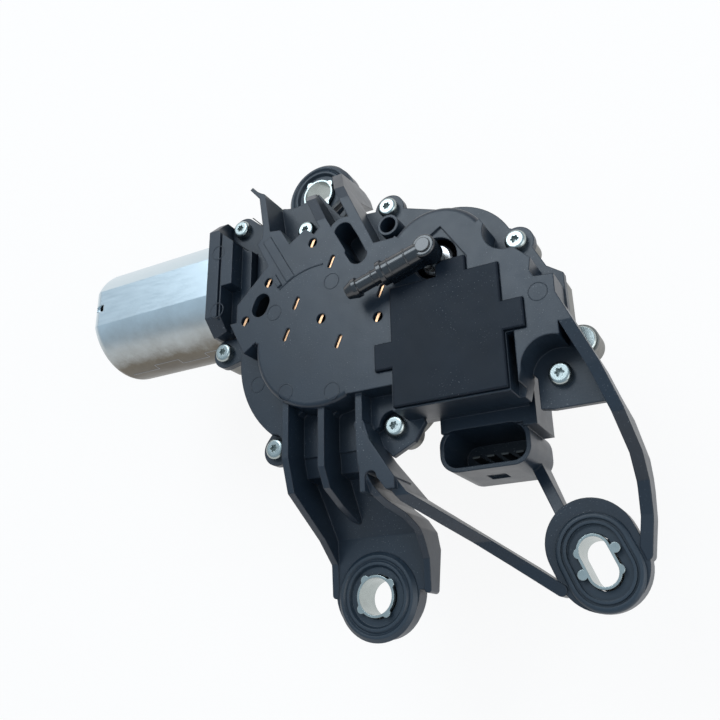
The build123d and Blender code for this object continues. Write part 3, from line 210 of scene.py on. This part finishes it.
def can_metal():
    """Zinc-plated sheet with painted light: a painted highlight on top, painted shade and a painted brown
    ground reflection below, with fine drawing marks along it.
    """
    shader = Shader("drawn_can")
    shader.set(Metallic=1.0)
    # Painted light by height across the can: painted shade and painted ground reflection below, painted
    # highlight on top
    facing = shader.add("ShaderNodeVectorMath", operation="DOT_PRODUCT")
    shader.link(shader.coordinates(), facing.inputs[0])
    facing.inputs[1].default_value = PAINTED_LIGHT_UPWARD
    patches = shader.noise(75.0, detail=7.0, roughness=0.7)
    place = shader.combine("MULTIPLY_ADD", patches, PAINTED_LIGHT_SHIFT, facing.outputs["Value"])
    tone = shader.ramp(shader.span(place, 0.0, 1.0, PAINTED_LIGHT_LOW, PAINTED_LIGHT_HIGH), PAINTED_LIGHT_STOPS)
    shader.link(tone, shader.bsdf.inputs["Base Color"])
    stretch = shader.add("ShaderNodeMapping")
    stretch.inputs["Scale"].default_value = MARK_STRETCH
    shader.link(shader.coordinates(), stretch.inputs["Vector"])
    marks = shader.add("ShaderNodeTexNoise", Scale=900.0, Detail=3.0)
    shader.link(stretch.outputs["Vector"], marks.inputs["Vector"])
    shader.link(shader.span(marks.outputs["Fac"], 0.24, 0.42), shader.bsdf.inputs["Roughness"])
    shader.surface(0.0006, marks.outputs["Fac"], strength=0.25, distance=0.00002)
    return shader.material


# Materials of the record's slots

looks = {
    "black_moulding": plastic(
        "black_moulding", (0.0105, 0.0190, 0.031), 0.37, grain=1500.0, depth=0.00008, edge=0.0006, dust=0.5
    ),
    "glossy_black": plastic(
        "glossy_black", (0.004, 0.007, 0.011), 0.2, grain=300.0, depth=0.00001, edge=0.0005, gloss=0.9
    ),
    "rubber": plastic(
        "rubber", (0.017, 0.029, 0.043), 0.42, grain=700.0, depth=0.00006, edge=0.0005, dust=0.3
    ),
    "cast_alloy": metal(
        "cast_alloy", (0.22, 0.215, 0.20), 0.5,
        spread=0.1, edge=0.0005, grain=500.0, depth=0.0001, metallic=0.8
    ),
    "zinc_plate": metal("zinc_plate", (0.40, 0.445, 0.435), 0.27, edge=0.0003),
    "drawn_can": can_metal(),
    "ground_steel": metal("ground_steel", (0.50, 0.50, 0.50), 0.28),
    "bronze": metal("bronze", (0.48, 0.31, 0.16), 0.4),
    "copper": metal("copper", (0.72, 0.42, 0.24), 0.3),
    "carbon": plastic("carbon", (0.03, 0.03, 0.032), 0.6, grain=900.0, depth=0.00004),
    "core_iron": metal("core_iron", (0.28, 0.28, 0.29), 0.5),
    "wheel_resin": plastic("wheel_resin", (0.62, 0.58, 0.48), 0.4, grain=500.0, depth=0.00002),
    "board_green": plastic("board_green", (0.02, 0.12, 0.05), 0.35, grain=400.0, depth=0.00001),
    "component_black": plastic("component_black", (0.02, 0.02, 0.023), 0.5, grain=900.0, depth=0.00003),
    "capacitor_can": metal("capacitor_can", (0.5, 0.5, 0.52), 0.3),
}

# Nodes that look different from the rest of their slot
own_looks = {
    "connector_pins": metal("tinned_blades", (0.14, 0.14, 0.135), 0.5),
    "box_lid": plastic(
        "lid_moulding", (0.0055, 0.0105, 0.0185), 0.5,
        grain=900.0, depth=0.00004, edge=0.0004, dust=0.3, gloss=0.22
    ),
}

slots = {part["node"]: part["material_slot"] for part in frame["record"]["subparts"]}
for name, node in nodes.items():
    node.data.materials.clear()
    node.data.materials.append(own_looks.get(name, looks[slots[name]]))

# Detail pieces, in metres from sizes in millimetres

MM = 0.001

# How deep the foot of a ridge is sunk in the surface that carries it
SUNK = 0.3


def piece(name, build, slot, body):
    """Make one mesh with a builder function, with a slot's finish, and let it ride on a body."""
    mesh = bpy.data.meshes.new(name)
    shape = bmesh.new()
    build(shape)
    bmesh.ops.recalc_face_normals(shape, faces=shape.faces)
    shape.to_mesh(mesh)
    shape.free()
    made = bpy.data.objects.new(name, mesh)
    made.data.materials.append(looks[slot])
    bpy.context.scene.collection.objects.link(made)
    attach(made, body)


def sweep(shape, sections, closed):
    """Skin a chain of equal sections, as lists of points in millimetres."""
    loops = [[shape.verts.new(Vector(point) * MM) for point in section] for section in sections]
    pairs = list(zip(loops, loops[1:]))
    if closed:
        pairs.append((loops[-1], loops[0]))
    for one, two in pairs:
        for index in range(len(one)):
            after = (index + 1) % len(one)
            shape.faces.new((one[index], one[after], two[after], two[index]))
    if not closed:
        shape.faces.new(loops[0])
        shape.faces.new(loops[-1])


def ridge(foot, top, height, sunk=SUNK):
    """Section of a low ridge, from its half widths, as places across it and heights."""
    return [(-foot, -sunk), (-top, height), (top, height), (foot, -sunk)]


def full_turn(steps):
    """Angles once around a circle."""
    return [2 * math.pi * index / steps for index in range(steps)]


def around(centre, radius, turn, level):
    """Point on a level circle."""
    return (centre[0] + radius * math.cos(turn), centre[1] + radius * math.sin(turn), level)


def raised_bar(shape, start, end, width, level, height, slope):
    """Low bar with sloping sides and ends, from one plan point to another."""
    along = Vector((end[0] - start[0], end[1] - start[1], 0))
    ahead = along.normalized()
    side = Vector((-along.y, along.x, 0)).normalized()
    buried = -0.2
    profile = [(0, buried), (slope, height), (along.length - slope, height), (along.length, buried)]
    sections = []
    for reach, rise in profile:
        middle = Vector((start[0], start[1], 0)) + ahead * reach
        sections.append([
            (*(middle + side * across).xy, level + z)
            for across, z in ridge(width / 2, width / 2 - slope, rise)
        ])
    sweep(shape, sections, False)


# Marks of the ejector pins: plan place and level of the face that each lies on
FACE_LEVEL = 0.0
TERRACE_LEVEL = -9.0
HOLDER_LEVEL = -2.1
PIN_MARKS = [
    (35.3, -22.3, FACE_LEVEL), (-42.7, -42.4, FACE_LEVEL), (-62.7, -39.3, FACE_LEVEL),
    (-68.6, -5.3, FACE_LEVEL), (-42.6, 1.7, FACE_LEVEL), (-82.0, -30.0, TERRACE_LEVEL),
    (-99.5, 30.9, HOLDER_LEVEL), (-98.8, 3.8, HOLDER_LEVEL),
]
PIN_RADIUS, PIN_LINE, PIN_HEIGHT = 3.2, 0.3, 0.1


def pin_marks(shape):
    """Fine raised circles, as ejector pins leave them."""
    line = ridge(PIN_LINE, PIN_LINE / 2, PIN_HEIGHT)
    for x, y, level in PIN_MARKS:
        sections = [
            [around((x, y), PIN_RADIUS + across, turn, level + rise) for across, rise in line]
            for turn in full_turn(40)
        ]
        sweep(shape, sections, True)


def stiffening_bars(shape):
    """Low steps on the cover between the hook fin and the round face."""
    raised_bar(shape, (-72.9, 28.4), (-60.9, 7.0), width=4.6, level=FACE_LEVEL, height=0.45, slope=0.35)
    raised_bar(shape, (-69.2, 10.9), (-66.0, 5.2), width=2.6, level=FACE_LEVEL, height=0.7, slope=0.35)


# Bead near the round face's edge
BEAD_CENTRE, BEAD_RADIUS = (-48.5, -18.8), 29.0
BEAD_START, BEAD_SWEEP, BEAD_STEPS = 86, 42, 24


def arc_bead(shape):
    """Raised bead along the round face's upper left edge."""
    sections = []
    for index in range(BEAD_STEPS + 1):
        turn = math.radians(BEAD_START + BEAD_SWEEP * index / BEAD_STEPS)
        sections.append([
            around(BEAD_CENTRE, BEAD_RADIUS + across, turn, FACE_LEVEL + rise)
            for across, rise in ridge(0.6, 0.25, 0.3)
        ])
    sweep(shape, sections, False)


piece("ejector_marks", pin_marks, "black_moulding", "frame")
piece("cover_bars", stiffening_bars, "black_moulding", "frame")
piece("face_bead", arc_bead, "black_moulding", "frame")

# Copper tabs of the contact plate, seen in the cover's slots and round holes: plan places of the openings,
# half length and width of a tab, and its shift from the opening's middle
TABS = [
    ([(-58.5, -3.7), (-62.8, -16.0), (-39.8, -23.7), (-42.7, 10.2), (-21.9, -7.5)], 3.1, 1.1, -0.2),
    ([(-51.0, 20.8), (-71.6, 8.5), (-82.4, -5.8), (-47.2, -12.8), (-23.3, -17.6)], 2.3, 1.3, -0.5),
]
TAB_TURN = math.radians(66.0)
TAB_LEVEL = -0.9


def contact_tabs(shape):
    """Narrow strips bridging each opening just under the cover's face."""
    ahead = Vector((math.cos(TAB_TURN), math.sin(TAB_TURN)))
    side = Vector((ahead.y, -ahead.x))
    for places, half_length, width, shift in TABS:
        for place in places:
            middle = Vector(place) + side * shift
            start, end = middle - ahead * half_length, middle + ahead * half_length
            raised_bar(shape, start, end, width, TAB_LEVEL, height=0.1, slope=0.1)


piece("contact_tabs", contact_tabs, "copper", "frame")

# Threaded end and knurled cone of the output shaft, whose axis is the z axis
AXIS = (0.0, 0.0)
THREAD_RADIUS, THREAD_TOP, THREAD_LENGTH, THREAD_PITCH = 4.6, -82.0, 10.0, 1.25
THREAD_START, THREAD_RUNOUT = 0.8, 1.0
THREAD_HEIGHT, THREAD_STEPS = 0.34, 24
CONE_TOP, CONE_RADIUS, CONE_SMALL = -74.0, 6.0, 5.0
KNURL_TEETH, KNURL_HEIGHT, KNURL_SHARE, KNURL_START = 48, 0.22, 0.8, 1.6


def thread(shape):
    """Helical ridge around the shaft's end."""
    turns = (THREAD_LENGTH - THREAD_START - THREAD_RUNOUT) / THREAD_PITCH
    sections = []
    for index in range(int(turns * THREAD_STEPS) + 1):
        turn = 2 * math.pi * index / THREAD_STEPS
        level = THREAD_TOP - THREAD_START - THREAD_PITCH * index / THREAD_STEPS
        sections.append([
            around(AXIS, THREAD_RADIUS + rise, turn, level - across)
            for across, rise in ridge(0.46, 0.06, THREAD_HEIGHT, sunk=0.15)
        ])
    sweep(shape, sections, False)


def knurl(shape):
    """Fine teeth down the cone."""
    half = math.pi / KNURL_TEETH * KNURL_SHARE
    ends = ((CONE_TOP - KNURL_START, CONE_RADIUS - 0.2), (THREAD_TOP + 0.1, CONE_SMALL))
    for turn in full_turn(KNURL_TEETH):
        sections = []
        for level, radius in ends:
            root, crest = radius - 0.1, radius + KNURL_HEIGHT
            corners = ((turn - half, root), (turn, crest), (turn + half, root))
            sections.append([around(AXIS, reach, angle, level) for angle, reach in corners])
        sweep(shape, sections, False)


piece("spindle_thread", thread, "zinc_plate", "output")
piece("spindle_knurl", knurl, "zinc_plate", "output")

# Beads around the washer elbow's arm, along its own direction: reach, radius of the arm there and height
ELBOW_TURN = math.radians(196.3)
ELBOW_CENTRE = Vector((0, 0, 7.3))
ARM_BEADS = [(7.5, 3.9, 0.22), (14.2, 3.9, 0.22), (21.6, 2.9, 0.25)]


def arm_beads(shape):
    """Raised rings around the arm."""
    ahead = Vector((math.cos(ELBOW_TURN), math.sin(ELBOW_TURN), 0))
    side = Vector((-ahead.y, ahead.x, 0))
    for reach, radius, height in ARM_BEADS:
        sections = []
        for turn in full_turn(32):
            out = side * math.cos(turn) + Vector((0, 0, 1)) * math.sin(turn)
            sections.append([
                ahead * (reach + along) + out * (radius + rise) + ELBOW_CENTRE
                for along, rise in ridge(0.45, 0.2, height)
            ])
        sweep(shape, sections, True)


piece("elbow_beads", arm_beads, "glossy_black", "elbow")

# Seam of the motor can: its steps along the can, its angle around it and how far each step moves it
CAN_Y, CAN_Z, CAN_RADIUS = 21.7, -27.9, 25.9
SEAM_PLACES = [-166.0, -150.0, -136.0, -121.0, -108.0]
SEAM_ANGLE, SEAM_STEP = 176.0, 8.0


def can_seam(shape):
    """Interlocking seam of the rolled can: straight runs and short steps between them."""
    corners = []
    for index, (start, end) in enumerate(zip(SEAM_PLACES, SEAM_PLACES[1:])):
        angle = SEAM_ANGLE - SEAM_STEP * (index % 2)
        corners += [(start, angle), (end, angle)]
    for (start, angle), (end, next_angle) in zip(corners, corners[1:]):
        straight = angle == next_angle
        count = 2 if straight else 4
        sections = []
        for index in range(count):
            share = index / (count - 1)
            x = start + (end - start) * share
            turn = math.radians(angle + (next_angle - angle) * share)
            out = Vector((0, math.cos(turn), math.sin(turn)))
            side = Vector((0, -math.sin(turn), math.cos(turn))) if straight else Vector((1, 0, 0))
            middle = Vector((x, CAN_Y, CAN_Z)) + out * CAN_RADIUS
            sections.append([middle + side * across + out * rise for across, rise in ridge(0.28, 0.16, 0.07)])
        sweep(shape, sections, False)


piece("can_seam", can_seam, "core_iron", "frame")

# Camera: place and axes solved from the plan's circles and straight edges
SENSOR_WIDTH, LENS = 36.0, 40.01
CAMERA_PLACE = Vector((0.09477, -0.13762, 0.23495))
CAMERA_RIGHT = Vector((0.8782, -0.0183, -0.4779))
CAMERA_UP = Vector((0.1898, 0.9305, 0.3132))


def make_camera():
    data = bpy.data.cameras.new("camera")
    data.sensor_width = SENSOR_WIDTH
    data.lens = LENS
    made = bpy.data.objects.new("camera", data)
    bpy.context.scene.collection.objects.link(made)
    back = CAMERA_RIGHT.cross(CAMERA_UP).normalized()
    up = back.cross(CAMERA_RIGHT).normalized()
    axes = Matrix((CAMERA_RIGHT.normalized(), up, back)).transposed().to_4x4()
    made.matrix_world = Matrix.Translation(CAMERA_PLACE) @ axes
    bpy.context.scene.camera = made


make_camera()

# Floor: radius and rise of its rings, in metres, and how much of its own white the camera sees
FLOOR_PROFILE = [(4.4, 0.0), (5.0, 0.06), (5.5, 0.28), (5.85, 0.75), (6.0, 1.5), (6.0, 2.6)]
FLOOR_STEPS = 64
WHITE_SHARE = 0.9


def floor_look():
    """Pale matt floor that shows nearly white to the camera and in reflections, and keeps the shadow."""
    shader = Shader("floor")
    shader.set(Base_Color=(0.93, 0.93, 0.93, 1.0), Roughness=0.9)
    path = shader.add("ShaderNodeLightPath")
    seen = shader.combine("MAXIMUM", path.outputs["Is Camera Ray"], path.outputs["Is Glossy Ray"])
    seen = shader.combine("MAXIMUM", seen, path.outputs["Is Transmission Ray"])
    share = shader.combine("MULTIPLY", seen, WHITE_SHARE)
    white = shader.add("ShaderNodeEmission", Color=WHITE, Strength=1.0)
    mix = shader.add("ShaderNodeMixShader")
    for source, target in zip((share, shader.bsdf.outputs["BSDF"], white.outputs["Emission"]), mix.inputs):
        shader.link(source, target)
    shader.link(mix.outputs["Shader"], shader.tree.nodes["Material Output"].inputs["Surface"])
    return shader.material


def make_floor():
    """Round floor under the object that curves up into a low backdrop."""
    mesh = bpy.data.meshes.new("floor")
    shape = bmesh.new()
    centre = shape.verts.new((0, 0, 0))
    angles = full_turn(FLOOR_STEPS)
    rings = [
        [shape.verts.new(around(AXIS, radius, turn, rise)) for turn in angles]
        for radius, rise in FLOOR_PROFILE
    ]
    for index in range(FLOOR_STEPS):
        after = (index + 1) % FLOOR_STEPS
        shape.faces.new((centre, rings[0][index], rings[0][after]))
        for inner, outer in zip(rings, rings[1:]):
            shape.faces.new((inner[index], outer[index], outer[after], inner[after]))
    for face in shape.faces:
        face.smooth = True
    shape.to_mesh(mesh)
    shape.free()
    made = bpy.data.objects.new("floor", mesh)
    made.location = (0, 0, cad_box[0][2])
    made.data.materials.append(floor_look())
    bpy.context.scene.collection.objects.link(made)


make_floor()

# Lamps and world


def lamp(name, place, size, power, colour):
    """Rectangular lamp that points at the frame's origin, with its size in metres and its power in watts."""
    data = bpy.data.lights.new(name, "AREA")
    data.shape = "RECTANGLE"
    data.size, data.size_y = size
    data.energy = power
    data.color = colour
    light = bpy.data.objects.new(name, data)
    light.location = place
    light.rotation_euler = (-Vector(place)).to_track_quat("-Z", "Y").to_euler()
    bpy.context.scene.collection.objects.link(light)


lamp("key", place=(-0.30, 0.66, 0.95), size=(0.75, 0.6), power=6.0, colour=(0.84, 0.93, 1.0))
lamp("fill", place=(0.9, -0.3, 0.6), size=(0.8, 0.8), power=4.0, colour=(0.95, 0.98, 1.0))

WORLD_STRENGTH = 0.7
WORLD_STOPS = [(0.0, (0.30, 0.27, 0.24, 1.0)), (0.75, (0.68, 0.85, 1.0, 1.0))]


def studio_world():
    """Soft light: pale blue overhead, fading to a dim warm horizon."""
    world = bpy.data.worlds.new("studio")
    world.use_nodes = True
    tree = world.node_tree
    background = tree.nodes["Background"]
    background.inputs["Strength"].default_value = WORLD_STRENGTH
    place = tree.nodes.new("ShaderNodeTexCoord")
    parts = tree.nodes.new("ShaderNodeSeparateXYZ")
    ramp = tree.nodes.new("ShaderNodeValToRGB")
    for element, (position, colour) in zip(ramp.color_ramp.elements, WORLD_STOPS):
        element.position = position
        element.color = colour
    tree.links.new(place.outputs["Generated"], parts.inputs[0])
    tree.links.new(parts.outputs["Z"], ramp.inputs["Fac"])
    tree.links.new(ramp.outputs["Color"], background.inputs["Color"])
    bpy.context.scene.world = world


studio_world()
bpy.context.scene.view_settings.view_transform = "Standard"
